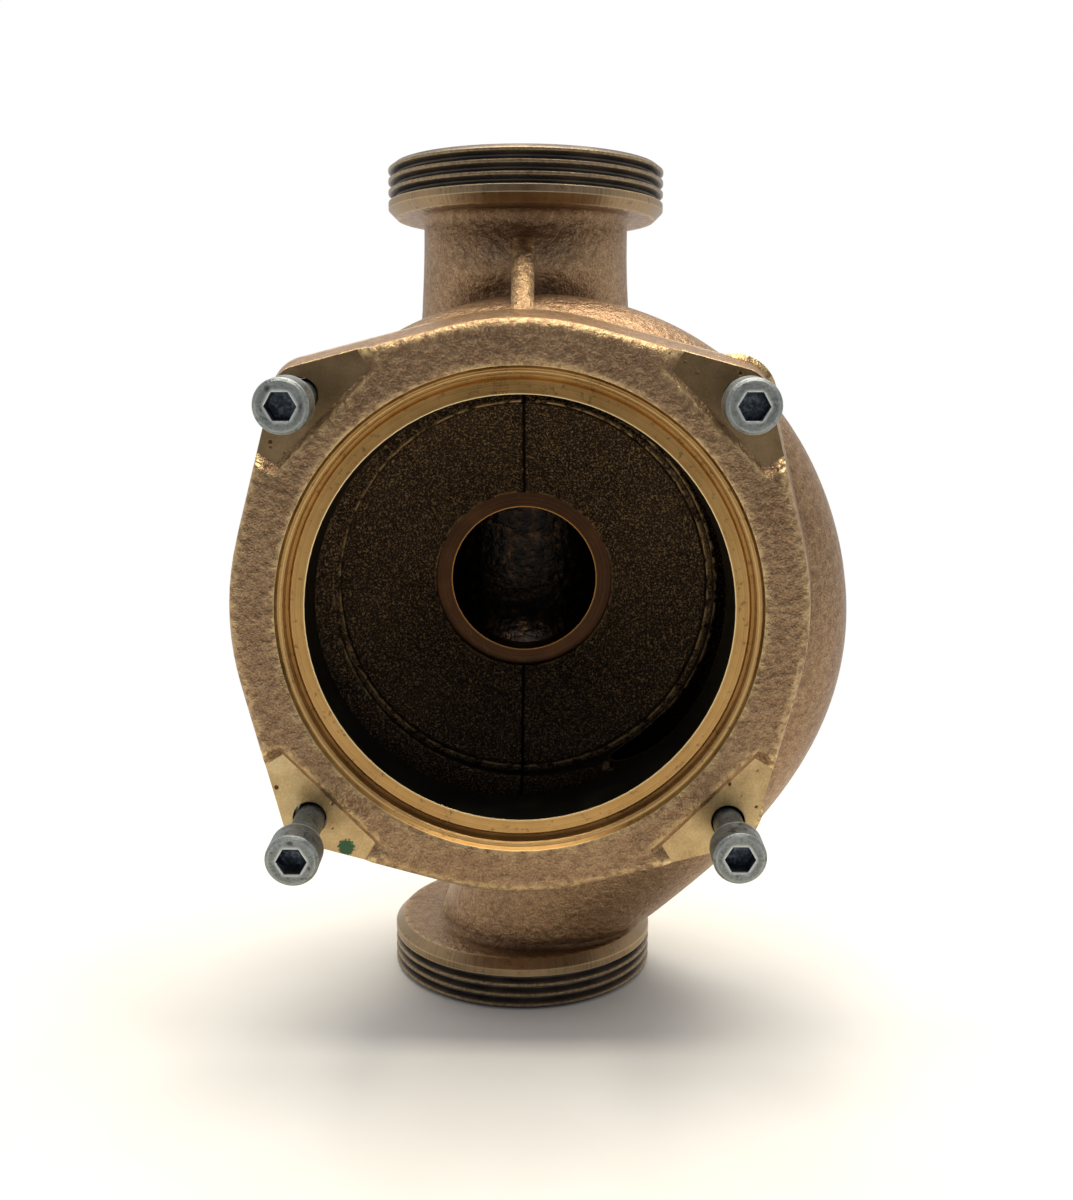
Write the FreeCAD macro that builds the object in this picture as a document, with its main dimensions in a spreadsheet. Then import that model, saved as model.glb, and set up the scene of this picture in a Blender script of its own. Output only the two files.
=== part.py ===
# Volute pump casing: a cast bronze in-line circulator housing, with its four
# socket-head screws standing in the flange.  Millimetres, +Z up.
# The casting is modelled about the impeller shaft: the shaft axis is Y and the
# flange looks toward -Y.  It is then lifted by half the port span, so that the
# lower port's end face lies on Z = 0 and both ports share the Z axis.
import FreeCAD, Part
import Sketcher
import math
import os

V = FreeCAD.Vector

doc = FreeCAD.newDocument("volute_pump_casing")

# ---------------------------------------------------------------- sizes
SIZES = [
    # ports: G 2 union threads, 180 mm from end face to end face
    ("port_span", 180.0),
    ("thread_crest_radius", 29.8),
    ("thread_pitch", 2.309),
    ("thread_depth", 1.45),
    ("thread_lead_in", 2.2),
    ("thread_grooves", 3),
    ("collar_height", 11.0),
    ("collar_bevel", 1.8),
    ("port_bore_radius", 17.2),
    ("port_mouth_chamfer", 1.5),
    ("port_bore_depth", 13.0),
    ("port_bored_out", 0.3),
    ("neck_wall", 5.0),
    ("neck_overlap", 1.0),
    # impeller chamber, measured along and about the shaft axis
    ("face_offset", 50.0),
    ("casting_wall", 5.0),
    ("opening_radius", 41.5),
    ("back_wall_offset", 12.3),
    ("back_wall_rise", 11.0),
    ("back_wall_thickness", 7.0),
    ("lip_width", 1.8),
    ("lip_height", 1.0),
    # register turned into the flange face for the motor's spigot
    ("register_radius", 46.4),
    ("register_depth", 3.2),
    ("ledge_width", 1.1),
    ("ledge_step", 0.9),
    ("edge_break", 0.4),
    # suction eye
    ("eye_radius", 16.4),
    ("eye_seat_width", 3.5),
    ("eye_seat_depth", 2.3),
    # flange
    ("flange_thickness", 12.0),
    ("flange_inset", 2.9),
    ("flange_draft", 12.0),
    ("flange_rim_radius", 1.2),
    ("lug_radius", 5.0),
    ("bolt_circle", 116.2),
    ("screw_hole_radius", 3.3),
    ("screw_hole_depth", 13.0),
    ("boss_radius", 8.4),
    ("boss_length", 20.0),
    ("pad_depth", 2.0),
    ("pad_inner_radius", 54.0),
    ("pad_half_angle", 13.5),
    ("pad_draft", 50.0),
    # volute: circular sections that grow around the chamber
    ("volute_offset", 24.0),
    ("tongue_angle", 62.0),
    ("tongue_gap", 1.0),
    ("volute_growth", 24.1),
    ("channel_radius", 10.5),
    ("channel_growth", 2.4),
    ("outlet_flare", 0.8),
    ("outlet_shift", 4.0),
    # suction passage: from the upper port down behind the chamber
    ("passage_half_width", 19.0),
    ("passage_half_depth", 13.0),
    ("passage_setback", 18.5),
    # rib on the front of the upper neck
    ("rib_width", 4.6),
    ("rib_start", 6.0),
    ("rib_round", 1.8),
    # fillets the foundry leaves where the forms meet
    ("cast_fillet", 1.5),
    # M6 socket-head screws
    ("screw_shank_radius", 2.95),
    ("screw_head_radius", 5.0),
    ("screw_head_height", 6.0),
    ("screw_socket_width", 5.0),
    ("screw_socket_depth", 3.2),
    ("screw_edge_break", 0.6),
    ("screw_length", 20.0),
    ("screw_engaged_left", 7.0),
    ("screw_engaged_right", 9.0),
    ("screw_droop_left", 5.2),
    ("screw_droop_right", 4.2),
]
sheet = doc.addObject("Spreadsheet::Sheet", "Sizes")
for row, (alias, value) in enumerate(SIZES, start=1):
    sheet.set("A%d" % row, alias)
    sheet.set("B%d" % row, str(value))
    sheet.setAlias("B%d" % row, alias)
doc.recompute()


NAMES = {alias for alias, value in SIZES}


def size(alias):
    """The value of one named size."""
    return float(sheet.get(alias))


def linked(text):
    """An expression in which every word that names a size refers to the sheet."""
    parts = [""]
    for letter in str(text):
        if letter.isalnum() or letter == "_":
            parts[-1] += letter
        else:
            parts += [letter, ""]
    return "".join("Sizes." + part if part in NAMES else part for part in parts)


def bind(thing, **expressions):
    """Drive properties by expressions; two underscores in a name stand for a dot."""
    for name, text in expressions.items():
        thing.setExpression(name.replace("__", "."), linked(text))


# ---------------------------------------------------------------- tools
def new_sketch(body, name, role):
    """A sketch on one of the body's own origin planes."""
    sketch = body.newObject("Sketcher::SketchObject", name)
    plane = [f for f in body.Origin.OriginFeatures if f.Role == role][0]
    sketch.AttachmentSupport = [(plane, "")]
    sketch.MapMode = "FlatFace"
    return sketch


def hold(sketch, kind, *where, value, text):
    """Add a dimension to a sketch and drive it by an expression."""
    index = sketch.addConstraint(Sketcher.Constraint(kind, *where, value))
    sketch.setExpression("Constraints[%d]" % index, linked(text))


def profile(sketch, points):
    """A closed outline of straight edges through points given as expressions."""
    count = len(points)
    start = [V(math.cos(2 * math.pi * k / count), math.sin(2 * math.pi * k / count), 0)
             for k in range(count)]
    for k in range(count):
        sketch.addGeometry(Part.LineSegment(start[k], start[(k + 1) % count]))
    for k in range(count):
        sketch.addConstraint(Sketcher.Constraint("Coincident", k, 2, (k + 1) % count, 1))
    for k, (x, y) in enumerate(points):
        hold(sketch, "DistanceX", -1, 1, k, 1, value=start[k].x, text=x)
        hold(sketch, "DistanceY", -1, 1, k, 1, value=start[k].y, text=y)
    doc.recompute()


def turned(body, name, role, axis, points):
    """A revolution of a profile about one of its sketch's axes."""
    sketch = new_sketch(body, name + "_profile", role)
    profile(sketch, points)
    feature = body.newObject("PartDesign::Revolution", name)
    feature.Profile = sketch
    feature.ReferenceAxis = (sketch, [axis])
    feature.Angle = 360
    doc.recompute()
    return feature


def turned_away(body, name, role, axis, points):
    """A groove: the same, taken away from the body."""
    sketch = new_sketch(body, name + "_profile", role)
    profile(sketch, points)
    feature = body.newObject("PartDesign::Groove", name)
    feature.Profile = sketch
    feature.ReferenceAxis = (sketch, [axis])
    feature.Angle = 360
    doc.recompute()
    return feature


def joined(kind, name, base, tool):
    """A Part::Fuse or Part::Cut of two objects."""
    result = doc.addObject(kind, name)
    result.Base, result.Tool = base, tool
    result.Refine = False
    doc.recompute()
    return result


def ring(name, x, y, z, tilt, half_x, half_y):
    """An ellipse across a passage, at a point and turned about Y."""
    if half_x == half_y:
        section = doc.addObject("Part::Circle", name)
        bind(section, Radius=half_x)
    else:
        section = doc.addObject("Part::Ellipse", name)
        bind(section, MajorRadius=half_x, MinorRadius=half_y)
    section.Placement = FreeCAD.Placement(V(), FreeCAD.Rotation(V(0, 1, 0), 1))
    bind(section, Placement__Base__x=x, Placement__Base__y=y, Placement__Base__z=z,
         Placement__Rotation__Angle=tilt)
    return section


def lofted(name, sections):
    loft = doc.addObject("Part::Loft", name)
    loft.Sections = sections
    loft.Solid = True
    doc.recompute()
    return loft


# ---------------------------------------------------------------- threaded collars
# Turned profile of one port: the thread's crests, the plain band behind them and
# the bevel on the side of the neck.
collar = doc.addObject("PartDesign::Body", "collar")
turned(collar, "collar_blank", "XZ_Plane", "V_Axis", [
    ("0", "0"),
    ("thread_crest_radius - thread_depth * 0.8", "0"),
    ("thread_crest_radius", "thread_depth * 0.6"),
    ("thread_crest_radius", "collar_height - collar_bevel"),
    ("thread_crest_radius - collar_bevel", "collar_height"),
    ("0", "collar_height"),
])
first_groove = turned_away(collar, "thread_groove", "XZ_Plane", "V_Axis", [
    ("thread_crest_radius + 0.5", "thread_lead_in - thread_pitch * 0.48"),
    ("thread_crest_radius + 0.5", "thread_lead_in + thread_pitch * 0.48"),
    ("thread_crest_radius - thread_depth", "thread_lead_in + thread_pitch * 0.08"),
    ("thread_crest_radius - thread_depth", "thread_lead_in - thread_pitch * 0.08"),
])
thread = collar.newObject("PartDesign::LinearPattern", "thread")
thread.Originals = [first_groove]
thread.Direction = (first_groove.Profile[0], ["V_Axis"])
bind(thread, Occurrences="thread_grooves", Length="thread_pitch * (thread_grooves - 1)")
collar.Tip = thread
bind(collar, Placement__Base__z="-port_span / 2")
doc.recompute()
upper_collar = doc.addObject("Part::Mirroring", "upper_collar")
upper_collar.Source = collar
upper_collar.Base = V(0, 0, 0)
upper_collar.Normal = V(0, 0, 1)
doc.recompute()

# ---------------------------------------------------------------- chamber wall
# Drum about the shaft with a cone for a back wall.
chamber_wall = doc.addObject("PartDesign::Body", "chamber_wall")
turned(chamber_wall, "drum", "YZ_Plane", "H_Axis", [
    ("-face_offset + flange_thickness / 2", "0"),
    ("-face_offset + flange_thickness / 2", "opening_radius + casting_wall"),
    ("-back_wall_offset", "opening_radius + casting_wall"),
    ("-back_wall_offset + back_wall_thickness * 0.6", "opening_radius + casting_wall * 0.7"),
    ("-back_wall_offset + back_wall_rise + back_wall_thickness", "eye_radius + eye_seat_width"),
    ("-back_wall_offset + back_wall_rise + back_wall_thickness", "0"),
])

# ---------------------------------------------------------------- flange
# The round rim runs out by straight tangents into a lug at each screw, and the
# whole outline widens by the draft toward the back.
flange = doc.addObject("PartDesign::Body", "flange")
outline = new_sketch(flange, "flange_outline", "XZ_Plane")
rim = size("bolt_circle") / 2 - size("flange_inset")
reach = size("bolt_circle") / 2
lean = math.degrees(math.acos((rim - size("lug_radius")) / reach))


def at(angle, radius, centre=V()):
    a = math.radians(angle)
    return centre + V(radius * math.cos(a), radius * math.sin(a), 0)


# edges in turn round the outline: rim arc, tangent, lug arc, tangent
for quarter in range(4):
    side, corner = 90 * quarter, 90 * quarter + 45
    lug = at(corner, reach)
    r = size("lug_radius")
    outline.addGeometry(Part.ArcOfCircle(Part.Circle(V(), V(0, 0, 1), rim),
                        math.radians(side - 45 + lean), math.radians(side + 45 - lean)))
    outline.addGeometry(Part.LineSegment(at(corner - lean, rim), at(corner - lean, r, lug)))
    outline.addGeometry(Part.ArcOfCircle(Part.Circle(lug, V(0, 0, 1), r),
                        math.radians(corner - lean), math.radians(corner + lean)))
    outline.addGeometry(Part.LineSegment(at(corner + lean, r, lug), at(corner + lean, rim)))
for k in range(16):
    after = (k + 1) % 16
    outline.addConstraint(Sketcher.Constraint("Tangent", k, 2, after, 1))
for quarter in range(4):
    rim_arc, lug_arc = 4 * quarter, 4 * quarter + 2
    outline.addConstraint(Sketcher.Constraint("Coincident", rim_arc, 3, -1, 1))
    hold(outline, "DistanceX", -1, 1, lug_arc, 3, value=at(90 * quarter + 45, reach).x,
         text="bolt_circle / 2 * cos(%d deg)" % (90 * quarter + 45))
    hold(outline, "DistanceY", -1, 1, lug_arc, 3, value=at(90 * quarter + 45, reach).y,
         text="bolt_circle / 2 * sin(%d deg)" % (90 * quarter + 45))
    hold(outline, "Radius", lug_arc, value=size("lug_radius"), text="lug_radius")
hold(outline, "Radius", 0, value=rim, text="bolt_circle / 2 - flange_inset")
doc.recompute()
flange_pad = flange.newObject("PartDesign::Pad", "flange_pad")
flange_pad.Profile = outline
flange_pad.Reversed = True
bind(flange_pad, Length="flange_thickness", TaperAngle="flange_draft")
doc.recompute()
bind(flange, Placement__Base__y="-face_offset")

# Bosses behind the two screws on the outlet side, where the volute leaves room.
bosses = []
for name, rise in (("upper_boss", 1), ("lower_boss", -1)):
    boss = doc.addObject("Part::Cylinder", name)
    boss.Placement = FreeCAD.Placement(V(), FreeCAD.Rotation(V(1, 0, 0), -90))
    bind(boss, Radius="boss_radius", Height="boss_length",
         Placement__Base__x="bolt_circle / 2 * cos(45 deg)",
         Placement__Base__z="%d * bolt_circle / 2 * sin(45 deg)" % rise,
         Placement__Base__y="-face_offset + flange_thickness - 1")
    bosses.append(boss)

# ---------------------------------------------------------------- volute
# Circular sections stand on rays from the shaft.  Their outer edge runs on a
# spiral and their radius grows with the angle turned from the tongue; the last
# ones leave the spiral in an S and come down onto the lower port's axis.
TURNS = (0, 35, 70, 105, 140, 175, 210, 245, 270, 294, 316)
SPLIT = TURNS.index(245)
# outlet stations: tilt about Y, then the share of the way still to go from the
# end of the spiral to the port along X, Y and Z, and of the growth still to come
OUTLET = ((32, 0.832, 0.965, 0.767, 0.87), (36, 0.644, 0.826, 0.582, 0.80),
          (38, 0.398, 0.500, 0.379, 0.63), (24, 0.171, 0.196, 0.192, 0.315), (0, 0, 0, 0, 0))


def channel_radius(turn):
    return "channel_radius + channel_growth * %s" % (turn / 360)


def spiral_centre(turn):
    """Distance of a section's centre from the shaft, inside the casting wall."""
    return "(opening_radius + tongue_gap + volute_growth * %s - (%s))" % (
        turn / 360, channel_radius(turn))


def volute_sections(kind, wall):
    sections = []
    for turn in TURNS:
        angle = "(tongue_angle + %s) * 1 deg" % turn
        sections.append(ring(
            "%s_turn_%d" % (kind, turn), spiral_centre(turn) + " * cos(%s)" % angle,
            "-volute_offset", "-" + spiral_centre(turn) + " * sin(%s)" % angle,
            "tongue_angle + %s" % turn,
            channel_radius(turn) + " + " + wall, channel_radius(turn) + " + " + wall))
    end = sections[-1].Name + ".Placement.Base."
    port_z = "(collar_height - port_span / 2) * 1 mm"
    for k, (tilt, go_x, go_y, go_z, less) in enumerate(OUTLET):
        radius = "(port_bore_radius + outlet_flare) * %s + (%s) * %s + %s" % (
            1 - less, channel_radius(TURNS[-1]), less, wall)
        sections.append(ring(
            "%s_outlet_%d" % (kind, k + 1),
            "%sx * %s + outlet_shift * %s * 1 mm" % (end, go_x, round(1 - go_x, 3)),
            "%sy * %s" % (end, go_y),
            "%sz * %s + %s * %s" % (end, go_z, port_z, round(1 - go_z, 3)),
            str(tilt), radius, radius))
    doc.recompute()
    return sections


outer_ring = volute_sections("volute", "casting_wall")
inner_ring = volute_sections("channel", "0")
volute_scroll = lofted("volute_scroll", outer_ring[:SPLIT + 1])
volute_outlet = lofted("volute_outlet", outer_ring[SPLIT:])
channel_scroll = lofted("channel_scroll", inner_ring[:SPLIT + 1])
channel_outlet = lofted("channel_outlet", inner_ring[SPLIT:])

# ---------------------------------------------------------------- suction passage
# Ellipses from the upper port down to the suction eye.  Each has its height as
# shares of the half span and of the eye's radius, its setback as a share of the
# passage's, and its half axes as shares of the port's and of the passage's.  The
# first one stands inside the collar whatever the span.
SUCTION = (
    ("port_span / 2 - collar_height + neck_overlap", 0, (1, 0), (1, 0)),
    ((0.778, 0), 0, (1, 0), (1, 0)),
    ((0.700, 0), 0.054, (0.78, 0.22), (0.85, 0.15)),
    ((0.611, 0), 0.26, (0.34, 0.66), (0.29, 0.71)),
    ((0.467, 0), 0.514, (0, 1), (0, 1)),
    ((0, 1.524), 0.892, (0, 1), (0, 1)),
    ((0, 0.488), 0.973, (0, 0.98), (0, 1)),
    ((0, -0.366), 1, (0, 0.92), (0, 0.96)),
    ((0, -0.976), 1, (0, 0.71), (0, 0.73)),
    ((0, -1.28), 1, (0, 0.42), (0, 0.42)),
)


def suction_sections(kind, wall):
    sections = []
    for k, (rise, setback, across, deep) in enumerate(SUCTION):
        below = wall if k == len(SUCTION) - 1 else "0"
        half_x = "port_bore_radius * %s + passage_half_width * %s + %s" % (*across, wall)
        half_y = "port_bore_radius * %s + passage_half_depth * %s + %s" % (*deep, wall)
        if across == (1, 0):
            half_x = half_y = "port_bore_radius + " + wall
        height = rise if k == 0 else "port_span / 2 * %s + eye_radius * %s - %s" % (*rise, below)
        sections.append(ring("%s_%d" % (kind, k + 1), "0", "passage_setback * %s" % setback,
                             height, "0", half_x, half_y))
    doc.recompute()
    return sections


# the cored passage is a little tighter than the port that is bored into it
suction_wall = lofted("suction_wall", suction_sections("neck", "neck_wall"))
suction_passage = lofted("suction_passage", suction_sections("passage", "-port_bored_out"))

# ---------------------------------------------------------------- rib
# Web from the front of the upper neck down onto the flange, rounded on its ridge.
neck_rib = doc.addObject("PartDesign::Body", "neck_rib")
web = new_sketch(neck_rib, "rib_profile", "YZ_Plane")
neck_front = "port_bore_radius + neck_wall"
rib_top = "port_span / 2 - collar_height - rib_start"
flange_back = "-face_offset + flange_thickness"
flange_top = "bolt_circle / 2 - flange_inset"
profile(web, [
    ("-%s + 4" % neck_front.replace("+", "-"), rib_top),
    ("-%s - 0.6" % neck_front.replace("+", "-"), rib_top),
    (flange_back + " + 1", flange_top + " + 1.5"),
    (flange_back + " + 1", flange_top + " - 6"),
    ("-%s + 4" % neck_front.replace("+", "-"), flange_top + " - 6"),
])
rib_pad = neck_rib.newObject("PartDesign::Pad", "rib_pad")
rib_pad.Profile = web
rib_pad.Midplane = True
bind(rib_pad, Length="rib_width")
doc.recompute()


def edges_where(shape, test):
    """Names of the edges whose sampled points all pass a test."""
    found = []
    for k, edge in enumerate(shape.Edges, start=1):
        first, last = edge.FirstParameter, edge.LastParameter
        points = [edge.valueAt(first + (last - first) * i / 6) for i in range(7)]
        if edge.Length > 0.5 and all(test(point) for point in points):
            found.append("Edge%d" % k)
    return found


half_rib = size("rib_width") / 2
rib_front = neck_rib.newObject("PartDesign::Fillet", "rib_ridge")
rib_front.Base = (rib_pad, edges_where(rib_pad.Shape, lambda p: (
    abs(abs(p.x) - half_rib) < 0.01 and p.z > size("bolt_circle") / 2 - size("flange_inset") + 1.4
    and p.y < -size("port_bore_radius") - size("neck_wall") - 0.5)))
bind(rib_front, Radius="rib_round")
neck_rib.Tip = rib_front
doc.recompute()

# ---------------------------------------------------------------- raw casting
casting = chamber_wall
for step, piece in enumerate([suction_wall, volute_scroll, volute_outlet, flange]
                             + bosses + [collar, upper_collar, neck_rib], start=1):
    casting = joined("Part::Fuse", "casting_%d" % step, casting, piece)

# Fillets: under the upper collar, and on the flange's front edge.
face = -size("face_offset")
collar_back = size("port_span") / 2 - size("collar_height")
neck = size("port_bore_radius") + size("neck_wall")
groups = [
    ("cast_fillet", lambda p: abs(p.z - collar_back) < 0.01 and math.hypot(p.x, p.y) < neck + 1),
    ("flange_rim_radius", lambda p: abs(p.y - face) < 0.01
     and math.hypot(p.x, p.z) > size("opening_radius") + 5),
]
rounded = doc.addObject("Part::Fillet", "rounded_casting")
rounded.Base = casting
rounded.Edges = [(int(name[4:]), size(radius), size(radius))
                 for radius, test in groups for name in edges_where(casting.Shape, test)]
doc.recompute()

# The sand cores leave the suction passage and the volute's channel.
cored = rounded
for step, core in enumerate([suction_passage, channel_outlet, channel_scroll], start=1):
    cored = joined("Part::Cut", "cored_%d" % step, cored, core)

# ---------------------------------------------------------------- machining
pump_casing = doc.addObject("PartDesign::Body", "pump_casing")
pump_casing.BaseFeature = cored
doc.recompute()

opening = "opening_radius"
wall = "-back_wall_offset"
seat = "eye_radius + eye_seat_width"
turned_away(pump_casing, "chamber_bore", "YZ_Plane", "H_Axis", [
    ("-face_offset - 1", "0"),
    ("-face_offset - 1", opening),
    (wall + " - lip_height + edge_break", opening),
    (wall + " - lip_height", opening + " - edge_break"),
    (wall + " - lip_height", opening + " - lip_width + edge_break"),
    (wall + " + edge_break", opening + " - lip_width"),
    (wall + " + back_wall_rise", seat),
    (wall + " + back_wall_rise + eye_seat_depth", seat),
    (wall + " + back_wall_rise + eye_seat_depth", "eye_radius"),
    ("passage_setback", "eye_radius"),
    ("passage_setback", "0"),
])
turned_away(pump_casing, "register", "YZ_Plane", "H_Axis", [
    ("-face_offset - 1", "0"),
    ("-face_offset - 1", "register_radius + edge_break"),
    ("-face_offset", "register_radius + edge_break"),
    ("-face_offset + ledge_step", "register_radius - edge_break / 2"),
    ("-face_offset + ledge_step", "register_radius - ledge_width + edge_break"),
    ("-face_offset + ledge_step + edge_break", "register_radius - ledge_width"),
    ("-face_offset + register_depth", "register_radius - ledge_width"),
    ("-face_offset + register_depth + edge_break", "register_radius - ledge_width - edge_break / 4"),
    ("-face_offset + register_depth + edge_break", "register_radius - 2 * ledge_width + edge_break"),
    ("-face_offset + register_depth", "register_radius - 2 * ledge_width"),
    ("-face_offset + register_depth", "0"),
])
turned_away(pump_casing, "lower_port", "XZ_Plane", "V_Axis", [
    ("0", "-port_span / 2 - 1"),
    ("port_bore_radius + port_mouth_chamfer + 1", "-port_span / 2 - 1"),
    ("port_bore_radius", "-port_span / 2 + port_mouth_chamfer"),
    ("port_bore_radius", "-port_span / 2 + port_bore_depth"),
    ("0", "-port_span / 2 + port_bore_depth"),
])
turned_away(pump_casing, "upper_port", "XZ_Plane", "V_Axis", [
    ("0", "port_span / 2 + 1"),
    ("port_bore_radius + port_mouth_chamfer + 1", "port_span / 2 + 1"),
    ("port_bore_radius", "port_span / 2 - port_mouth_chamfer"),
    ("port_bore_radius", "port_span / 2 - port_bore_depth"),
    ("0", "port_span / 2 - port_bore_depth"),
])


def raised_sketch(body, name, height):
    """A sketch square to the shaft, a given distance toward the flange's front."""
    sketch = new_sketch(body, name, "XZ_Plane")
    bind(sketch, AttachmentOffset__Base__z=height)
    doc.recompute()
    return sketch


# Pads spot-faced at the lugs: the walls at both ends lean outward.
def pad_outline(name, height, inner, half_angle):
    sketch = raised_sketch(pump_casing, name, height)
    angles = ["(45 - (%s)) * 1 deg" % half_angle, "(45 + (%s)) * 1 deg" % half_angle]
    outer = "(bolt_circle / 2 + 4 * lug_radius)"
    profile(sketch, [
        ("(%s) * cos(%s)" % (inner, angles[0]), "(%s) * sin(%s)" % (inner, angles[0])),
        ("%s * cos(%s)" % (outer, angles[0]), "%s * sin(%s)" % (outer, angles[0])),
        ("%s * cos(%s)" % (outer, angles[1]), "%s * sin(%s)" % (outer, angles[1])),
        ("(%s) * cos(%s)" % (inner, angles[1]), "(%s) * sin(%s)" % (inner, angles[1])),
    ])
    return sketch


spread = "pad_depth * tan(pad_draft * 1 deg) / pad_inner_radius * 57.3"
pad_floor = pad_outline("pad_floor", "face_offset - pad_depth", "pad_inner_radius",
                        "pad_half_angle")
pad_mouth = pad_outline("pad_mouth", "face_offset + 0.1", "pad_inner_radius - pad_depth / 2",
                        "pad_half_angle + " + spread)
pad = pump_casing.newObject("PartDesign::SubtractiveLoft", "pad")
pad.Profile = pad_floor
pad.Sections = [pad_mouth]
doc.recompute()
pads = pump_casing.newObject("PartDesign::PolarPattern", "pads")
pads.Originals = [pad]
pads.Axis = ([f for f in pump_casing.Origin.OriginFeatures if f.Role == "Y_Axis"][0], [""])
pads.Angle = 360
pads.Occurrences = 4
pump_casing.Tip = pads
doc.recompute()

hole_circle = raised_sketch(pump_casing, "screw_hole_circle", "face_offset")
hole_circle.addGeometry(Part.Circle(at(45, size("bolt_circle") / 2), V(0, 0, 1),
                                    size("screw_hole_radius")))
across = size("bolt_circle") / 2 * math.cos(math.radians(45))
hold(hole_circle, "DistanceX", -1, 1, 0, 3, value=across, text="bolt_circle / 2 * cos(45 deg)")
hold(hole_circle, "DistanceY", -1, 1, 0, 3, value=across, text="bolt_circle / 2 * sin(45 deg)")
hold(hole_circle, "Radius", 0, value=size("screw_hole_radius"), text="screw_hole_radius")
doc.recompute()
hole = pump_casing.newObject("PartDesign::Pocket", "screw_hole")
hole.Profile = hole_circle
bind(hole, Length="screw_hole_depth")
doc.recompute()
holes = pump_casing.newObject("PartDesign::PolarPattern", "screw_holes")
holes.Originals = [hole]
holes.Axis = pads.Axis
holes.Angle = 360
holes.Occurrences = 4
pump_casing.Tip = holes
bind(pump_casing, Placement__Base__z="port_span / 2")
pump_casing.Label = "pump_casing"
doc.recompute()


# ---------------------------------------------------------------- screws
def socket_screw(name, side, rise):
    """A socket-head screw, half unscrewed: its tip in the flange, its head drooping."""
    screw = doc.addObject("PartDesign::Body", name)
    hand = "left" if side < 0 else "right"
    tip = "screw_engaged_%s / 2" % hand
    under_head = tip + " - screw_length"
    front = under_head + " - screw_head_height"
    turned(screw, name + "_blank", "YZ_Plane", "H_Axis", [
        (tip, "0"),
        (tip, "screw_shank_radius - screw_edge_break"),
        (tip + " - screw_edge_break", "screw_shank_radius"),
        (under_head, "screw_shank_radius"),
        (under_head, "screw_head_radius"),
        (front + " + screw_edge_break", "screw_head_radius"),
        (front, "screw_head_radius - screw_edge_break"),
        (front, "0"),
    ])
    socket = raised_sketch(screw, name + "_hexagon", "screw_length + screw_head_height - " + tip)
    corner = "screw_socket_width / 2 / cos(30 deg)"
    profile(socket, [("%s * cos(%d deg)" % (corner, 60 * k), "%s * sin(%d deg)" % (corner, 60 * k))
                     for k in range(6)])
    pocket = screw.newObject("PartDesign::Pocket", name + "_socket")
    pocket.Profile = socket
    bind(pocket, Length="screw_socket_depth")
    screw.Tip = pocket
    screw.Placement = FreeCAD.Placement(V(), FreeCAD.Rotation(V(1, 0, 0), 1))
    bind(screw, Placement__Base__x="%d * bolt_circle / 2 * cos(45 deg)" % side,
         Placement__Base__z="port_span / 2 + %d * bolt_circle / 2 * sin(45 deg)" % rise,
         Placement__Base__y="-face_offset + pad_depth + " + tip,
         Placement__Rotation__Angle="screw_droop_" + hand)
    screw.Label = name
    doc.recompute()
    return screw


screws = [socket_screw("screw_upper_left", -1, 1), socket_screw("screw_upper_right", 1, 1),
          socket_screw("screw_lower_left", -1, -1), socket_screw("screw_lower_right", 1, -1)]

# ---------------------------------------------------------------- check and write
for thing in doc.Objects:
    if {"Invalid", "Error"} & set(thing.State):
        raise RuntimeError("%s: %s" % (thing.Label, thing.getStatusString()))
os.makedirs("parts", exist_ok=True)
for piece in [pump_casing] + screws:
    shape = piece.Shape
    if shape.isNull() or not shape.isValid() or len(shape.Solids) != 1:
        raise RuntimeError(piece.Label + " is not one valid solid")
    shape.exportStep("parts/%s.step" % piece.Label)
    print("%-20s %9.0f mm3  %3d faces" % (piece.Label, shape.Volume, len(shape.Faces)))
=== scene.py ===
# %% [markdown]
# # Volute pump casing
# A cast bronze housing of an in-line heating circulator, with its four screws
# standing in the flange.  The casting and the screws come in from the packed
# CAD model and are never moved.  This lesson gives them their surfaces, puts
# them on a pale table and lights them softly.

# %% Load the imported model
import math

import bpy
from mathutils import Matrix, Vector

MM = 0.001
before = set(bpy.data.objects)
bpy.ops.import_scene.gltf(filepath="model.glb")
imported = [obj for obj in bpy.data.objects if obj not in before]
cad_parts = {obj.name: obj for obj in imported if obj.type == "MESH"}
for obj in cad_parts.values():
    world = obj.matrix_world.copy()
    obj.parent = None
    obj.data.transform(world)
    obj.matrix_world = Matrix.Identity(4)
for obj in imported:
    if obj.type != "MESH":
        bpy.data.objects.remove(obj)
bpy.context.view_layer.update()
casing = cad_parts["pump_casing"]
screws = {name: piece for name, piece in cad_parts.items() if name.startswith("screw")}

# %% [markdown]
# ## Camera
# The casing is seen from a hand's length in front of the open flange and a
# little above it, so the lower port's collar shows its top and the upper one
# its underside.  At such a short distance the screws spread away from the
# flange's corners, so the camera's place matters more than its lens.  The lens
# is stated for a frame that is 36 mm on its longer side.

# %% Camera
camera_place = Vector((5.2453, -290.6969, 130.5325)) * MM
yaw, pitch, roll = -0.0082, 0.1548, 0.0060

forward = Vector((math.sin(yaw) * math.cos(pitch), math.cos(yaw) * math.cos(pitch), -math.sin(pitch)))
right = Vector((math.cos(yaw), -math.sin(yaw), 0.0))
up = right.cross(forward)
right_rolled = right * math.cos(roll) + up * math.sin(roll)
up_rolled = up * math.cos(roll) - right * math.sin(roll)

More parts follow.
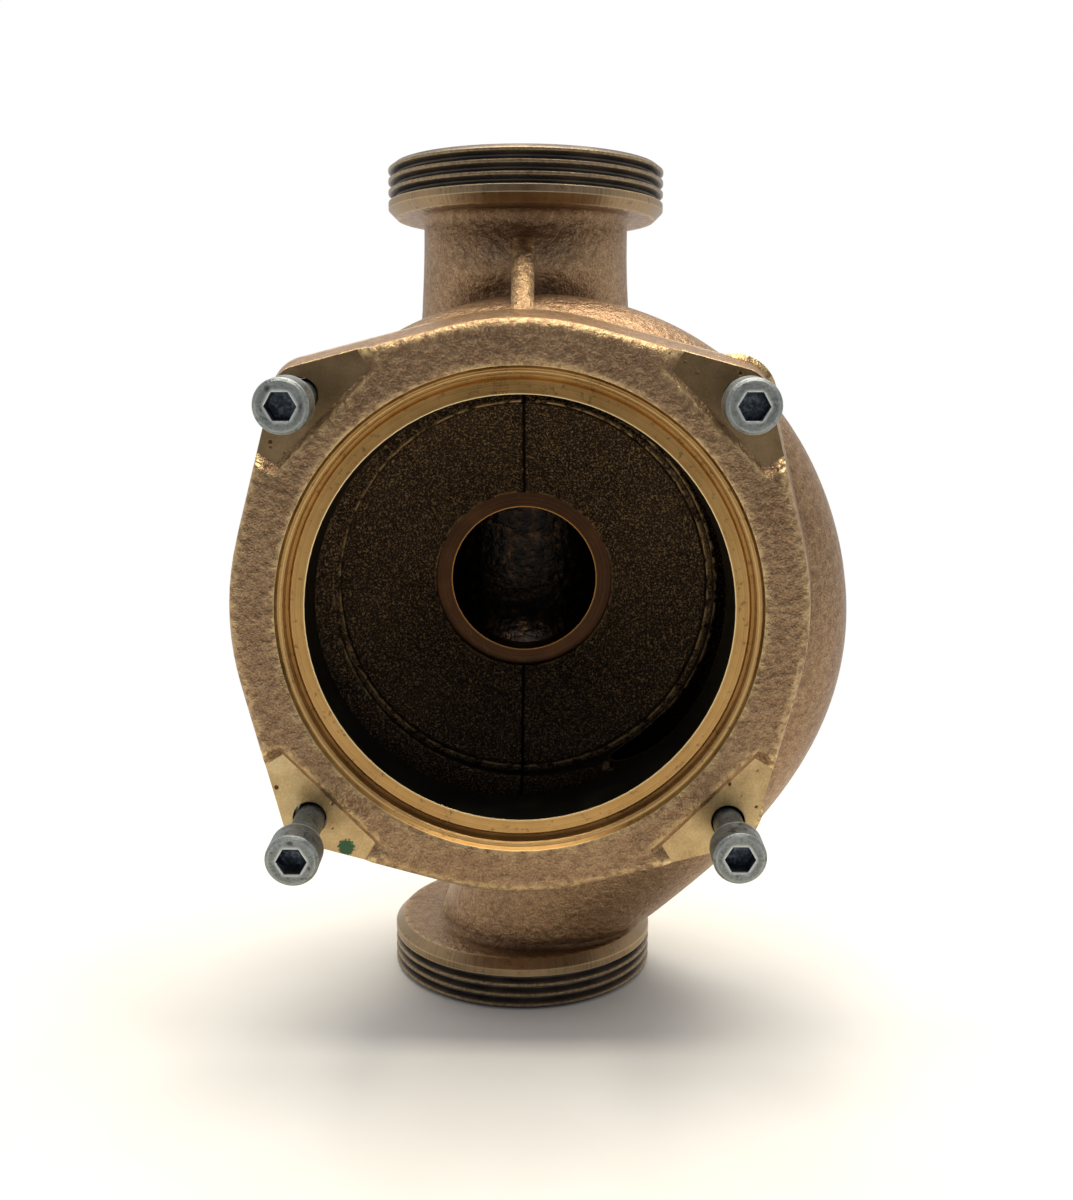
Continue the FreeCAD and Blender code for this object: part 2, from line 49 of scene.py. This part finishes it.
camera_data = bpy.data.cameras.new("product_camera")
camera_data.lens = 1285.26 / 1200 * 36.0
camera_data.sensor_width = 36.0
camera_data.clip_start = 0.02
camera = bpy.data.objects.new("product_camera", camera_data)
camera.matrix_world = Matrix.Translation(camera_place) @ Matrix(
    (right_rolled, up_rolled, -forward)).transposed().to_4x4()
bpy.context.scene.collection.objects.link(camera)
bpy.context.scene.camera = camera
bpy.context.scene.view_settings.view_transform = "Standard"
print("lens %.2f mm" % camera_data.lens)

# %% [markdown]
# ## Helpers for finishes
# A finish is a network of shader nodes.  One function turns a colour written
# as sRGB hex into the linear numbers that shaders need.  One function adds a
# node with its settings and links, so that a finish reads from top to bottom.
# An input is named by its words joined with underscores, or in0, in1 and so on
# by its place, and takes a number, a hex colour, or the node that feeds it.


# %% Colour and node helpers
def linear(hex_colour):
    """sRGB hex to a linear colour."""
    values = [int(hex_colour[i:i + 2], 16) / 255 for i in (1, 3, 5)]
    return tuple(v / 12.92 if v <= 0.04045 else ((v + 0.055) / 1.055) ** 2.4 for v in values) + (1.0,)


def add(tree, kind, stops=(), **settings):
    """Add a node with its settings, its input values and links, and a ramp's colour stops."""
    node = tree.nodes.new("ShaderNode" + kind)
    links = []
    for name, value in settings.items():
        if name.startswith("in") and name[2:].isdigit():
            socket = node.inputs[int(name[2:])]
        else:
            socket = next((s for s in node.inputs if s.name == name.replace("_", " ") and s.enabled), None)
        if isinstance(value, bpy.types.Node):
            value = next(output for output in value.outputs if output.enabled)
        if isinstance(value, str) and value.startswith("#"):
            value = linear(value)
        if isinstance(value, bpy.types.NodeSocket):
            links.append((value, socket))
        elif socket is not None:
            socket.default_value = value
        else:
            setattr(node, name, value)
    for source, socket in links:
        tree.links.new(source, socket)
    for k, (position, colour) in enumerate(stops):
        if k > 1:
            node.color_ramp.elements.new(1.0)
        node.color_ramp.elements[k].position = position
        node.color_ramp.elements[k].color = linear(colour)
    return node


def new_finish(name):
    """An empty material and its node tree."""
    material = bpy.data.materials.new(name)
    material.use_nodes = True
    material.node_tree.nodes.clear()
    return material, material.node_tree


def place_in_mm(tree):
    """The surface point in the part's own frame, in millimetres, so that a noise scale is lumps per mm."""
    metres = add(tree, "TexCoord").outputs["Object"]
    return add(tree, "VectorMath", operation="SCALE", in0=metres, Scale=1 / MM)


def reach_from_shaft(tree, place):
    """Distance from the impeller shaft's axis, in millimetres."""
    centred = add(tree, "VectorMath", operation="SUBTRACT", in0=place, in1=(0, 0, 90))
    flat = add(tree, "VectorMath", operation="MULTIPLY", in0=centred, in1=(1, 0, 1))
    return add(tree, "VectorMath", operation="LENGTH", in0=flat)


def reach_from_ports(tree, place):
    """Distance from the axis that both ports share, in millimetres."""
    flat = add(tree, "VectorMath", operation="MULTIPLY", in0=place, in1=(1, 1, 0))
    return add(tree, "VectorMath", operation="LENGTH", in0=flat)


def spot(tree, place, centre, radius, ragged):
    """1 inside a blot of that radius round a point, 0 outside, with its rim broken by a noise."""
    away = add(tree, "VectorMath", operation="DISTANCE", in0=place, in1=centre)
    rim = add(tree, "Math", operation="MULTIPLY_ADD", in0=ragged, in1=-radius, in2=away)
    return add(tree, "MapRange", in0=rim, in1=0.55 * radius, in2=0.35 * radius)


def worn_edge_and_highlight(tree, reach_mm):
    """1 on outward edges, 0 on flats and in corners: how near the metal's other side is from inside.  It marks
    rubbed edges, and on the bronze also a painted highlight.
    """
    inside = add(tree, "AmbientOcclusion", inside=True, only_local=True, samples=8, Distance=reach_mm * MM)
    return add(tree, "MapRange", in0=inside.outputs["AO"], in1=0.97, in2=0.62)


def corner_shade_mask(tree, reach_mm):
    """1 deep in corners, 0 in the open: the mask for painted shade in corners."""
    around = add(tree, "AmbientOcclusion", only_local=True, samples=8, Distance=reach_mm * MM)
    return add(tree, "MapRange", in0=around.outputs["AO"], in1=0.9, in2=0.35)


def relief(tree, height, depth_mm, rounding):
    """The normal of a surface raised by a height of 0 to 1, on edges rounded by that radius in metres."""
    soft = add(tree, "Bevel", samples=6, Radius=rounding)
    return add(tree, "Bump", Distance=depth_mm * MM, Height=height, Normal=soft)


# %% [markdown]
# ## Sand-cast bronze
# The outside keeps the skin that the sand mould gave it and a shot-blast
# evened out: brown gold, with lumps of a millimetre or two and grains of about
# half a millimetre.  Edges are rubbed yellow where hands and tools reach them,
# and they carry a painted highlight; corners are darkened with painted shade.
# Metal shows by its coloured reflections, so the finish is a rough metal whose
# grain comes mostly from relief.  The normals round off corners by a few
# millimetres, as the foundry's fillets do.
# Two patches of plain dimples stand on the upper arms.

# %% Sand-cast bronze
sand_cast, tree = new_finish("sand_cast_bronze")
place = place_in_mm(tree)
patches = add(tree, "TexNoise", in0=place, Scale=1 / 14.0, Detail=3.0)
lumps = add(tree, "TexNoise", in0=place, Scale=1 / 1.5, Detail=3.0, Roughness=0.55)
sand = add(tree, "TexNoise", in0=place, Scale=1 / 0.42, Detail=2.0, Roughness=0.6)
skin = add(tree, "ValToRGB", in0=patches, stops=((0.3, "#896b4d"), (0.5, "#997958"), (0.72, "#a88864")))
lump_tone = add(tree, "ValToRGB", in0=lumps, stops=((0.34, "#6d533c"), (0.5, "#98785a"), (0.66, "#b99b74")))
sand_tone = add(tree, "ValToRGB", in0=sand, stops=((0.36, "#4f3c2c"), (0.52, "#97775a"), (0.66, "#dcc298")))
skin = add(tree, "Mix", data_type="RGBA", in0=0.45, in6=skin, in7=lump_tone)
skin = add(tree, "Mix", data_type="RGBA", in0=0.25, in6=skin, in7=sand_tone)
# painted shade: corners are darkened toward a dark brown by the occlusion mask, at half strength
dirt_and_shade_amount = add(tree, "Math", operation="MULTIPLY", in0=corner_shade_mask(tree, 7.0), in1=0.5)
skin = add(tree, "Mix", data_type="RGBA", in0=dirt_and_shade_amount, in6=skin, in7="#5a4434")
crumble = add(tree, "MapRange", in0=lumps, in1=0.40, in2=0.54, in3=0.2, in4=1.0)
# rubbed edges with a painted highlight: outward edges, broken up by the lumps, go pale gold and glossier
rub_and_highlight = add(tree, "Math", operation="MULTIPLY", in0=worn_edge_and_highlight(tree, 2.0), in1=crumble)
skin = add(tree, "Mix", data_type="RGBA", in0=rub_and_highlight, in6=skin, in7="#f0cf92")
polish = add(tree, "MapRange", in0=rub_and_highlight, in3=0.43, in4=0.26)
height = add(tree, "Math", operation="MULTIPLY_ADD", in0=sand, in1=0.3, in2=lumps)

# dimples 1.6 mm apart, only within the blots on the two upper arms
dots = add(tree, "TexVoronoi", in0=place, Scale=1 / 1.9, Randomness=0.15)
dimple = add(tree, "MapRange", in0=dots, in1=0.42, in2=0.25)
for arm in ((-46.0, -50.0, 122.0), (50.0, -50.0, 120.0)):
    marked = add(tree, "Math", operation="MULTIPLY", in0=dimple, in1=spot(tree, place, arm, 7.0, 0.2))
    height = add(tree, "Math", operation="MULTIPLY_ADD", in0=marked, in1=-0.8, in2=height)
up_neck = add(tree, "SeparateXYZ", in0=place)
soft_round = add(tree, "MapRange", in0=up_neck.outputs["Z"], in1=134.0, in2=140.0, in3=2.0 * MM, in4=4.0 * MM)
grained = relief(tree, height, 0.42, soft_round)
surface = add(tree, "BsdfPrincipled", Base_Color=skin, Metallic=0.92, Roughness=polish, Normal=grained)
add(tree, "OutputMaterial", Surface=surface)
print("finish:", sand_cast.name)

# %% [markdown]
# ## Chamber casting
# The cast walls inside are given black-brown tones.  Their grain has bright
# specks, which are painted glints.  It is the same sand grain, darker and
# duller.  The two halves of the mould's core met in the middle and left a thin
# upright line on the back wall.

# %% Chamber casting
chamber_cast, tree = new_finish("dark_inner_cast_bronze")
place = place_in_mm(tree)
patches = add(tree, "TexNoise", in0=place, Scale=1 / 16.0, Detail=3.0)
lumps = add(tree, "TexNoise", in0=place, Scale=1 / 2.0, Detail=3.0, Roughness=0.6)
sand = add(tree, "TexNoise", in0=place, Scale=1 / 0.42, Detail=3.0, Roughness=0.7)
skin = add(tree, "ValToRGB", in0=patches, stops=((0.3, "#30241a"), (0.5, "#463523"), (0.7, "#5a4430")))
# painted glints: the ramp's pale top stop puts bright specks into the dark grain
sand_tone = add(tree, "ValToRGB", in0=sand, stops=((0.42, "#120c07"), (0.53, "#3d2d1d"), (0.66, "#c09a66")))
skin = add(tree, "Mix", data_type="RGBA", in0=0.75, in6=skin, in7=sand_tone)
broken = add(tree, "MapRange", in0=lumps, in1=0.42, in2=0.54)
# rubbed edges with a painted highlight: outward edges, broken up by the lumps, go pale gold
rub_and_highlight = add(tree, "Math", operation="MULTIPLY", in0=worn_edge_and_highlight(tree, 0.8), in1=broken)
skin = add(tree, "Mix", data_type="RGBA", in0=rub_and_highlight, in6=skin, in7="#d0a870")
aside = add(tree, "Math", operation="ABSOLUTE", in0=add(tree, "SeparateXYZ", in0=place).outputs["X"])
wander = add(tree, "Math", operation="MULTIPLY_ADD", in0=lumps, in1=0.5, in2=aside)
seam = add(tree, "MapRange", in0=wander, in1=0.62, in2=0.45)
skin = add(tree, "Mix", data_type="RGBA", in0=seam, in6=skin, in7="#0d0906")
height = add(tree, "Math", operation="MULTIPLY_ADD", in0=sand, in1=0.6, in2=lumps)
height = add(tree, "Math", operation="MULTIPLY_ADD", in0=seam, in1=-0.7, in2=height)
surface = add(tree, "BsdfPrincipled", Base_Color=skin, Metallic=0.85, Roughness=0.42,
              Normal=relief(tree, height, 0.45, 0.6 * MM))
add(tree, "OutputMaterial", Surface=surface)
print("finish:", chamber_cast.name)

# %% [markdown]
# ## Passage walls
# Behind the suction eye the cored passage is given near-black tones and a
# glossy finish, so it shows only as a soft gleam on its curved back.

# %% Passage walls
passage_cast, tree = new_finish("near_black_cast_bronze")
place = place_in_mm(tree)
lumps = add(tree, "TexNoise", in0=place, Scale=1 / 2.5, Detail=3.0, Roughness=0.6)
skin = add(tree, "ValToRGB", in0=lumps, stops=((0.35, "#0b0805"), (0.55, "#21170d"), (0.7, "#4a331b")))
surface = add(tree, "BsdfPrincipled", Base_Color=skin, Metallic=0.8, Roughness=0.32,
              Normal=relief(tree, lumps, 0.5, 0.6 * MM))
add(tree, "OutputMaterial", Surface=surface)
print("finish:", passage_cast.name)

# %% [markdown]
# ## Turned bronze
# The register, the port faces, the suction eye's seat and the plain bands are
# cut on a lathe.  The tool leaves fine rings round its axis, so highlights
# stretch into arcs.  The rings are 0.3 mm apart, a little coarser than a real
# feed, so that they show.  One recipe serves them all, with its own tones.


# %% Turned bronze
def turned_finish(name, reach_of, tones, edge_highlight, roughness, dirt_and_shade_amount):
    """Bronze cut in rings: reach_of measures from the lathe's axis."""
    material, tree = new_finish(name)
    place = place_in_mm(tree)
    patches = add(tree, "TexNoise", in0=place, Scale=1 / 9.0, Detail=4.0, Roughness=0.6)
    smear = add(tree, "TexNoise", in0=place, Scale=1 / 1.4, Detail=3.0, Roughness=0.6)
    depth = add(tree, "SeparateXYZ", in0=place).outputs["Y"]
    across = add(tree, "Math", operation="ADD", in0=reach_of(tree, place), in1=depth)
    rings = add(tree, "TexNoise", noise_dimensions="1D", W=across, Scale=1 / 0.3, Detail=3.0)
    metal = add(tree, "ValToRGB", in0=patches, stops=((0.3, tones[0]), (0.5, tones[1]), (0.7, tones[2])))
    ring_tone = add(tree, "ValToRGB", in0=rings, stops=((0.35, tones[0]), (0.65, tones[2])))
    metal = add(tree, "Mix", data_type="RGBA", in0=0.4, in6=metal, in7=ring_tone)
    stain = add(tree, "MapRange", in0=smear, in1=0.60, in2=0.68, in3=0.0, in4=dirt_and_shade_amount)
    metal = add(tree, "Mix", data_type="RGBA", in0=stain, in6=metal, in7="#4a3a28")
    # painted highlight: the outward edges of the cut surfaces take the pale edge tone
    metal = add(tree, "Mix", data_type="RGBA", in0=worn_edge_and_highlight(tree, 0.35), in6=metal, in7=edge_highlight)
    polish = add(tree, "MapRange", in0=patches, in1=0.3, in2=0.7, in3=roughness - 0.06, in4=roughness + 0.08)
    height = add(tree, "Math", operation="MULTIPLY_ADD", in0=smear, in1=0.5, in2=rings)
    surface = add(tree, "BsdfPrincipled", Base_Color=metal, Metallic=0.95, Roughness=polish,
                  Normal=relief(tree, height, 0.012, 0.25 * MM))
    add(tree, "OutputMaterial", Surface=surface)
    print("finish:", name)
    return material


# the colour after the three tones is the edge tone of the painted highlight
register_turned = turned_finish("turned_bronze_register", reach_from_shaft,
                                ("#97703f", "#b28950", "#c99f62"), "#ffe3a6", 0.30, 0.5)
chamber_turned = turned_finish("turned_bronze_chamber", reach_from_shaft,
                               ("#2c2b24", "#3d3c33", "#504d42"), "#7d7662", 0.38, 0.4)
eye_turned = turned_finish("turned_bronze_eye", reach_from_shaft,
                           ("#2a1b10", "#40291a", "#5f4026"), "#c98c48", 0.34, 0.5)
port_turned = turned_finish("turned_bronze_ports", reach_from_ports,
                            ("#7e6a50", "#977f60", "#ab906c"), "#e3c998", 0.38, 0.4)

# %% [markdown]
# ## Union thread
# The thread's flanks are given dark grey tones and its crests brown gold
# ones.  A crest is found by its distance from the ports' axis.

# %% Union thread
union_thread, tree = new_finish("threaded_bronze")
place = place_in_mm(tree)
patches = add(tree, "TexNoise", in0=place, Scale=1 / 7.0, Detail=3.0)
smear = add(tree, "TexNoise", in0=place, Scale=1 / 0.7, Detail=3.0, Roughness=0.6)
crest = add(tree, "MapRange", in0=reach_from_ports(tree, place), in1=29.2, in2=29.7)
flank_tone = add(tree, "ValToRGB", in0=patches, stops=((0.3, "#4a4541"), (0.5, "#5c554e"), (0.7, "#70665b")))
crest_tone = add(tree, "ValToRGB", in0=smear, stops=((0.35, "#7a674e"), (0.6, "#a28c6c")))
metal = add(tree, "Mix", data_type="RGBA", in0=crest, in6=flank_tone, in7=crest_tone)
polish = add(tree, "MapRange", in0=crest, in3=0.5, in4=0.36)
surface = add(tree, "BsdfPrincipled", Base_Color=metal, Metallic=0.8, Roughness=polish,
              Normal=relief(tree, smear, 0.05, 0.3 * MM))
add(tree, "OutputMaterial", Surface=surface)
print("finish:", union_thread.name)

# %% [markdown]
# ## Spot-faced pads
# A cutter has cleaned a pad at each lug down to bare metal: flat pale gold
# with a few dark pits where the casting was porous.  The upper pads get darker
# brown tones, which are painted shade.  A fleck of green paint has stuck to the
# lower left one.


# %% Spot-faced pads
def spot_faced_finish(name, tones, roughness):
    """Bronze cut flat by an end mill, with pits."""
    material, tree = new_finish(name)
    place = place_in_mm(tree)
    patches = add(tree, "TexNoise", in0=place, Scale=1 / 5.0, Detail=4.0)
    fine = add(tree, "TexNoise", in0=place, Scale=1 / 0.5, Detail=2.0)
    metal = add(tree, "ValToRGB", in0=patches, stops=((0.3, tones[0]), (0.5, tones[1]), (0.7, tones[2])))
    fine_tone = add(tree, "ValToRGB", in0=fine, stops=((0.3, tones[0]), (0.7, tones[2])))
    metal = add(tree, "Mix", data_type="RGBA", in0=0.35, in6=metal, in7=fine_tone)
    cells = add(tree, "TexVoronoi", in0=place, Scale=1 / 2.6, Randomness=1.0)
    chosen = add(tree, "SeparateColor", in0=cells.outputs["Color"]).outputs["Red"]
    few = add(tree, "MapRange", in0=chosen, in1=0.60, in2=0.64)
    small = add(tree, "MapRange", in0=cells.outputs["Distance"], in1=0.20, in2=0.12)
    pit = add(tree, "Math", operation="MULTIPLY", in0=few, in1=small)
    metal = add(tree, "Mix", data_type="RGBA", in0=pit, in6=metal, in7="#54391d")
    paint = spot(tree, place, PAINT_FLECK, 1.7, fine)
    metal = add(tree, "Mix", data_type="RGBA", in0=paint, in6=metal, in7="#3f5a3c")
    height = add(tree, "Math", operation="MULTIPLY_ADD", in0=pit, in1=-4.0, in2=fine)
    surface = add(tree, "BsdfPrincipled", Base_Color=metal, Metallic=0.9, Roughness=roughness,
                  Normal=relief(tree, height, 0.03, 0.3 * MM))
    add(tree, "OutputMaterial", Surface=surface)
    print("finish:", name)
    return material


PAINT_FLECK = (-34.0, -48.0, 43.0)
lower_faced = spot_faced_finish("spot_faced_bronze", ("#ab8a5b", "#c5a673", "#dcc28e"), 0.36)
# painted shade: the upper pads are a darker copy of the lower pads' finish
upper_faced_painted_shade = spot_faced_finish("darkened_spot_faced_bronze", ("#75603f", "#8a7150", "#9c8260"), 0.42)

# %% [markdown]
# ## Zinc-plated steel
# The screws have a dull grey plating, scuffed bright at the heads' rims and
# blotched with dark spots.  The hexagon sockets are given a blue-black finish.

# %% Zinc-plated steel
zinc, tree = new_finish("zinc_plated_steel")
place = place_in_mm(tree)
patches = add(tree, "TexNoise", in0=place, Scale=1 / 3.0, Detail=4.0, Roughness=0.6)
fine = add(tree, "TexNoise", in0=place, Scale=1 / 0.45, Detail=3.0, Roughness=0.6)
blots = add(tree, "TexNoise", in0=place, Scale=1 / 1.3, Detail=2.0)
plating = add(tree, "ValToRGB", in0=patches, stops=((0.3, "#5e625f"), (0.5, "#7b7f7b"), (0.7, "#979b95")))
fine_tone = add(tree, "ValToRGB", in0=fine, stops=((0.35, "#4d504e"), (0.65, "#a9ada7")))
plating = add(tree, "Mix", data_type="RGBA", in0=0.3, in6=plating, in7=fine_tone)
blot = add(tree, "MapRange", in0=blots, in1=0.60, in2=0.70, in4=0.75)
plating = add(tree, "Mix", data_type="RGBA", in0=blot, in6=plating, in7="#363733")
rim = add(tree, "Math", operation="MULTIPLY", in0=worn_edge_and_highlight(tree, 0.7), in1=0.8)
plating = add(tree, "Mix", data_type="RGBA", in0=rim, in6=plating, in7="#dde0da")
polish = add(tree, "MapRange", in0=patches, in1=0.3, in2=0.7, in3=0.38, in4=0.56)
height = add(tree, "Math", operation="ADD", in0=fine, in1=patches)
surface = add(tree, "BsdfPrincipled", Base_Color=plating, Metallic=0.8, Roughness=polish,
              Normal=relief(tree, height, 0.08, 0.45 * MM))
add(tree, "OutputMaterial", Surface=surface)

socket_dark_finish, tree = new_finish("dark_steel_socket")
place = place_in_mm(tree)
fine = add(tree, "TexNoise", in0=place, Scale=1 / 0.8, Detail=3.0, Roughness=0.6)
socket_tone = add(tree, "ValToRGB", in0=fine, stops=((0.35, "#1d232b"), (0.5, "#333b45"), (0.68, "#5d666e")))
surface = add(tree, "BsdfPrincipled", Base_Color=socket_tone, Metallic=0.6, Roughness=0.42,
              Normal=relief(tree, fine, 0.1, 0.5 * MM))
add(tree, "OutputMaterial", Surface=surface)
print("finishes:", zinc.name, socket_dark_finish.name)

# %% [markdown]
# ## Which face has which finish
# One casting carries every finish, so each face is sorted by where it lies:
# cut surfaces lie at known radii and heights.  What is left is cast skin,
# outside or inside.  The two are told apart by spreading from face to face,
# starting at one that is surely outside: the cut surfaces stop the spread.

# %% Sort the casing's faces
finishes = {"sand": sand_cast, "chamber": chamber_cast, "passage": passage_cast, "register": register_turned,
            "bore": chamber_turned, "eye": eye_turned, "port": port_turned, "thread": union_thread,
            "lower_pad": lower_faced, "upper_pad": upper_faced_painted_shade}
order = list(finishes)
casing.data.materials.clear()
for material in finishes.values():
    casing.data.materials.append(material)


def cut_surface(centre, normal):
    """The finish of a cut face by its place in millimetres, or None for cast skin."""
    x, y, z = centre
    about_shaft = math.hypot(x, z - 90)
    about_ports = math.hypot(x, y)
    upright = abs(normal.y) < 0.2
    if 41.3 < about_shaft < 46.85 and y < -46.0:
        return "register"
    if 41.3 < about_shaft < 41.6 and y < -13 and upright:
        return "bore"
    if 16.3 < about_shaft < 20.1 and -2 < y < 20 and (about_shaft < 16.5 or y < 1.3):
        return "eye"
    for height in (z, 180 - z):
        if 17.1 < about_ports < 17.4 and height < 13.01 or about_ports < 28.7 and height < 1.6:
            return "port"
        if 28.2 < about_ports < 29.9 and height < 7.9:
            return "thread"
        if 27.8 < about_ports < 29.9 and height < 11.01:
            return "port"
    if -48.2 < y < -47.8 and about_shaft > 52 and normal.y < -0.98:
        return "lower_pad" if z < 90 else "upper_pad"
    if y < -36.9 and upright and math.hypot(abs(x) - 41.08, abs(z - 90) - 41.08) < 3.4:
        return "bore"
    return None


mesh = casing.data
finish_of = [cut_surface(face.center / MM, face.normal) for face in mesh.polygons]
corner = [tuple(round(c, 6) for c in vertex.co) for vertex in mesh.vertices]
touching = {}
for face in mesh.polygons:
    if finish_of[face.index] is None:
        for vertex in face.vertices:
            touching.setdefault(corner[vertex], []).append(face.index)
widest = max((f for f in mesh.polygons if finish_of[f.index] is None), key=lambda f: f.center.x)
outside, waiting = {widest.index}, [widest.index]
while waiting:
    for vertex in mesh.polygons[waiting.pop()].vertices:
        for neighbour in touching.get(corner[vertex], ()):
            if neighbour not in outside:
                outside.add(neighbour)
                waiting.append(neighbour)
for face in mesh.polygons:
    finish = finish_of[face.index]
    if finish is None and face.index in outside:
        finish = "sand"
    elif finish is None:
        x, y, z = face.center / MM
        finish = "passage" if y > -1.0 and not 19.8 < math.hypot(x, z - 90) < 41.6 else "chamber"
        finish = "passage" if y > 3.4 else finish
    face.material_index = order.index(finish)
print("faces by finish:", {name: sum(f.material_index == k for f in mesh.polygons)
                           for k, name in enumerate(order)})

# %% [markdown]
# ## The screws' two finishes
# Everything on a screw is plated, but the walls and floor of its socket get
# the dark socket finish.  A face belongs to the socket when it lies behind the
# head's front and nearer to the screw's axis than the head's rim.

# %% Sort the screws' faces
for name, screw in screws.items():
    screw.data.materials.clear()
    screw.data.materials.append(zinc)
    screw.data.materials.append(socket_dark_finish)
    front = min(vertex.co.y for vertex in screw.data.vertices)
    head = [vertex.co for vertex in screw.data.vertices if vertex.co.y < front + 1.0 * MM]
    centre = sum(head, Vector()) / len(head)
    for face in screw.data.polygons:
        away = face.center - centre
        in_socket = math.hypot(away.x, away.z) < 3.1 * MM and away.y > 0.1 * MM
        face.material_index = int(in_socket and face.center.y < front + 4.5 * MM)
    print(name, "socket faces:", sum(face.material_index for face in screw.data.polygons))

# %% [markdown]
# ## Table
# The casing stands on a white table.  Its shadow and the white bounce from
# the table are what the eye expects under it.  Further away the table is
# plain white to the camera and in reflections, so that it
# runs into the surroundings without a horizon.

# %% Table
half = 3.0
table_mesh = bpy.data.meshes.new("table_top")
table_corners = [(-half, -half, 0), (half, -half, 0), (half, half, 0), (-half, half, 0)]
table_mesh.from_pydata(table_corners, [], [(0, 1, 2, 3)])
table = bpy.data.objects.new("table_top", table_mesh)
bpy.context.scene.collection.objects.link(table)
table_white, tree = new_finish("white_table_top")
place = place_in_mm(tree)
shade = add(tree, "TexNoise", in0=place, Scale=1 / 60.0, Detail=3.0)
paint = add(tree, "ValToRGB", in0=shade, stops=((0.3, "#f1ede2"), (0.7, "#f8f5ec")))
surface = add(tree, "BsdfPrincipled", Base_Color=paint, Roughness=0.6, Specular_IOR_Level=0.3)
far = add(tree, "MapRange", interpolation_type="SMOOTHSTEP", in0=reach_from_ports(tree, place), in1=95.0, in2=210.0)
ray = add(tree, "LightPath")
seen = add(tree, "Math", operation="MAXIMUM", in0=ray.outputs["Is Camera Ray"], in1=ray.outputs["Is Glossy Ray"])
seen = add(tree, "Math", operation="MAXIMUM", in0=seen, in1=ray.outputs["Is Transmission Ray"])
faded = add(tree, "Math", operation="MULTIPLY", in0=far, in1=seen)
white = add(tree, "Emission", Color="#ffffff", Strength=1.0)
add(tree, "OutputMaterial", Surface=add(tree, "MixShader", in0=faded, in1=surface, in2=white))
table_mesh.materials.append(table_white)
print("table: %.0f m across" % (2 * half))

# %% [markdown]
# ## Light
# A wide soft lamp hangs over the casing, a little behind it, so its shadow
# falls softly toward the viewer.  White surroundings light the sides and the
# back.  Ahead is a dimmer, cooler room with a dark place in its middle, where
# the viewer stands: that is what the flange's face and the chamber mirror.

# %% Light
world = bpy.data.worlds.new("white_room")
bpy.context.scene.world = world
world.use_nodes = True
tree = world.node_tree
tree.nodes.clear()
towards = add(tree, "TexCoord").outputs["Generated"]
viewer = add(tree, "VectorMath", operation="DOT_PRODUCT", in0=towards, in1=(0.02, -0.98, 0.18)).outputs["Value"]
room = add(tree, "Mix", data_type="RGBA", in0=add(tree, "MapRange", in0=viewer, in1=0.10, in2=0.70),
           in6="#ffffff", in7="#8f99ae")
room = add(tree, "Mix", data_type="RGBA", in0=add(tree, "MapRange", in0=viewer, in1=0.80, in2=0.97),
           in6=room, in7="#17120e")
lit = add(tree, "Background", Color=room, Strength=0.8)
plain = add(tree, "Background", Color="#ffffff", Strength=1.0)
ray = add(tree, "LightPath")
add(tree, "OutputWorld", Surface=add(tree, "MixShader", in0=ray.outputs["Is Camera Ray"], in1=lit, in2=plain))

lamp_data = bpy.data.lights.new("overhead_softbox", "AREA")
lamp_data.shape = "RECTANGLE"
lamp_data.size, lamp_data.size_y = 0.6, 0.45
lamp_data.color = linear("#fff8ee")[:3]
lamp_data.energy = 5.8
lamp = bpy.data.objects.new("overhead_softbox", lamp_data)
lamp.location = (0.03, 0.02, 0.72)
lamp.rotation_euler = (math.radians(3), math.radians(2), 0)
bpy.context.scene.collection.objects.link(lamp)
print("lamp %.1f W at %.2f m" % (lamp_data.energy, lamp.location.z))
